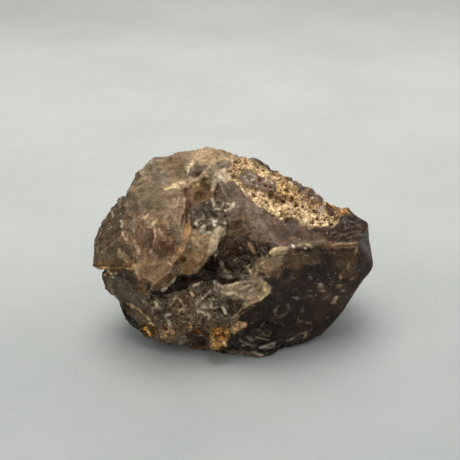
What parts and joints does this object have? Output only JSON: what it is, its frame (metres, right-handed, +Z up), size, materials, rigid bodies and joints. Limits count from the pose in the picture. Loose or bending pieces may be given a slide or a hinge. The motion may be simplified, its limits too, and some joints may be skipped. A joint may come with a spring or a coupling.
{
  "type": "smoky quartz crystal",
  "caption": "Rough smoky quartz crystal: dark glassy faces at one end, a broken, frosty root at the other, and a cream and rust crust along the top. Decorative stone that rests on its foot.",
  "frame": {"origin": "on the surface the crystal rests on, under the middle of its bounding box", "axes": "+X towards the faceted end, -Y towards the side with the overhanging plates and the hollow, +Z up"},
  "size_m": [0.0758, 0.0498, 0.0498],
  "materials": {
    "smoky_quartz": "glassy broken quartz with a grainy crust"
  },
  "bodies": {
    "root": {"smoky_quartz_crystal": "smoky_quartz"}
  },
  "joints": []
}
